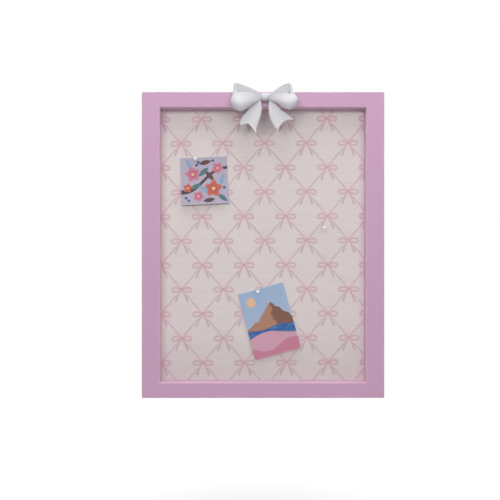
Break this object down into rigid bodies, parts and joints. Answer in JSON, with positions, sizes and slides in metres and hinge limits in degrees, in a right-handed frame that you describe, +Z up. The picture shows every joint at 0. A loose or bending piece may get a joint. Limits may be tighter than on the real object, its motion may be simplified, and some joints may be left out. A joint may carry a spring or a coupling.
{
  "type": "pin board",
  "caption": "Framed fabric pin board for a wall: painted wooden frame, recessed printed linen over soft board, ribbon bow on the top rail, ball-head pins and pinned cards.",
  "frame": {"origin": "the notch of the sawtooth hanger that the wall nail sits in, at mid width of the board", "axes": "+X to the viewer's right, +Y from the front into the wall, +Z up"},
  "size_m": [0.352, 0.0541, 0.4554],
  "materials": {
    "lilac_paint": "satin lilac paint",
    "printed_linen": "cream linen weave with a pink ribbon trellis print",
    "soft_board": "raw fibre soft board",
    "hardboard": "brown hardboard",
    "bare_wood": "bare beech",
    "white_bow": "white satin moulding",
    "white_ball": "white gloss",
    "bright_steel": "zinc plated",
    "lavender_card": "smooth printed card",
    "sky_card": "smooth printed card",
    "dark_rubber": "matt rubber"
  },
  "bodies": {
    "board": {"left_stile": "lilac_paint", "right_stile": "lilac_paint", "top_rail": "lilac_paint", "bottom_rail": "lilac_paint", "dowel_bottom_left_front": "bare_wood", "dowel_bottom_left_back": "bare_wood", "dowel_bottom_right_front": "bare_wood", "dowel_bottom_right_back": "bare_wood", "dowel_top_left_front": "bare_wood", "dowel_top_left_back": "bare_wood", "dowel_top_right_front": "bare_wood", "dowel_top_right_back": "bare_wood", "fabric_cover": "printed_linen", "soft_board_core": "soft_board", "backing_board": "hardboard", "bow_loop_left": "white_bow", "bow_loop_right": "white_bow", "bow_tail_left": "white_bow", "bow_tail_right": "white_bow", "bow_knot": "white_bow", "turn_screw_top_left": "bright_steel", "turn_screw_top_right": "bright_steel", "turn_screw_bottom_left": "bright_steel", "turn_screw_bottom_right": "bright_steel", "turn_screw_left": "bright_steel", "turn_screw_right": "bright_steel", "sawtooth_hanger": "bright_steel", "hanger_nail_left": "bright_steel", "hanger_nail_right": "bright_steel", "wall_bumper_left": "dark_rubber", "wall_bumper_right": "dark_rubber"},
    "square_pin": {"square_card_pin_head": "white_ball", "square_card_pin_needle": "bright_steel"},
    "tall_pin": {"tall_card_pin_head": "white_ball", "tall_card_pin_needle": "bright_steel"},
    "spare_pin": {"spare_pin_head": "white_ball", "spare_pin_needle": "bright_steel"},
    "square_card": {"square_card": "lavender_card"},
    "tall_card": {"tall_card": "sky_card"},
    "button_top_left": {"turn_button_top_left": "bright_steel"},
    "button_top_right": {"turn_button_top_right": "bright_steel"},
    "button_bottom_left": {"turn_button_bottom_left": "bright_steel"},
    "button_bottom_right": {"turn_button_bottom_right": "bright_steel"},
    "button_left": {"turn_button_left": "bright_steel"},
    "button_right": {"turn_button_right": "bright_steel"}
  },
  "joints": [
    {"name": "square_pin_pull", "type": "slide", "parent": "board", "child": "square_pin", "axis": [0, -1, 0], "range_m": [0, 0.02]},
    {"name": "tall_pin_pull", "type": "slide", "parent": "board", "child": "tall_pin", "axis": [0, -1, 0], "range_m": [0, 0.02]},
    {"name": "spare_pin_pull", "type": "slide", "parent": "board", "child": "spare_pin", "axis": [0, -1, 0], "range_m": [0, 0.02]},
    {"name": "square_card_swing", "type": "hinge", "parent": "square_pin", "child": "square_card", "pos_m": [-0.099, -0.01335, -0.0847], "axis": [0, -1, 0], "range_deg": [-25, 110]},
    {"name": "tall_card_swing", "type": "hinge", "parent": "tall_pin", "child": "tall_card", "pos_m": [-0.0076, -0.01335, -0.2795], "axis": [0, -1, 0], "continuous": true},
    {"name": "button_top_left_turn", "type": "hinge", "parent": "board", "child": "button_top_left", "pos_m": [-0.095, -0.00175, 0.003], "axis": [0, 1, 0], "continuous": true},
    {"name": "button_top_right_turn", "type": "hinge", "parent": "board", "child": "button_top_right", "pos_m": [0.095, -0.00175, 0.003], "axis": [0, 1, 0], "continuous": true},
    {"name": "button_bottom_left_turn", "type": "hinge", "parent": "board", "child": "button_bottom_left", "pos_m": [-0.095, -0.00175, -0.425], "axis": [0, 1, 0], "continuous": true},
    {"name": "button_bottom_right_turn", "type": "hinge", "parent": "board", "child": "button_bottom_right", "pos_m": [0.095, -0.00175, -0.425], "axis": [0, 1, 0], "continuous": true},
    {"name": "button_left_turn", "type": "hinge", "parent": "board", "child": "button_left", "pos_m": [-0.166, -0.00175, -0.211], "axis": [0, 1, 0], "continuous": true},
    {"name": "button_right_turn", "type": "hinge", "parent": "board", "child": "button_right", "pos_m": [0.166, -0.00175, -0.211], "axis": [0, 1, 0], "continuous": true}
  ]
}
